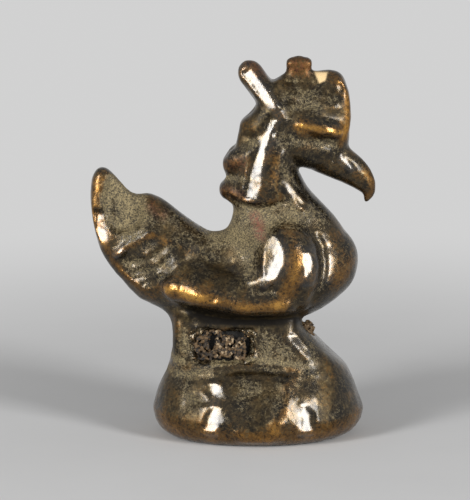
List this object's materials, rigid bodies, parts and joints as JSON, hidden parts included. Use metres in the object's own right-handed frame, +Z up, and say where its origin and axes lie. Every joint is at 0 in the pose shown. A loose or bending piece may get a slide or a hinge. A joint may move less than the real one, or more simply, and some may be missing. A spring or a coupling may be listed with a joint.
{
  "type": "bird-shaped scale weight",
  "caption": "Cast bronze balance weight in the form of a crested bird with an upswept tail, standing on two stays over a rounded pedestal, with clay core left in the chamber between them.",
  "frame": {"origin": "on the flat sole of the pedestal, under the middle of the foot's widest line", "axes": "+X towards the beak, +Y towards the bird's left side, +Z up"},
  "size_m": [0.0373, 0.0208, 0.0501],
  "materials": {
    "bronze": "worn dark brown patina, rubbed golden on the edges, with pale dirt in the hollows",
    "core": "rough, crumbly fired clay"
  },
  "bodies": {
    "root": {"pedestal": "bronze", "rear_stay": "bronze", "front_stay": "bronze", "casting_core": "core", "body": "bronze", "tail": "bronze", "right_wing": "bronze", "left_wing": "bronze", "neck": "bronze", "hackle_cape": "bronze", "upper_hackle": "bronze", "middle_hackle": "bronze", "lower_hackle": "bronze", "head": "bronze", "beak": "bronze", "right_brow": "bronze", "left_brow": "bronze", "comb": "bronze", "crest_lobe": "bronze", "rear_plume": "bronze"}
  },
  "joints": []
}
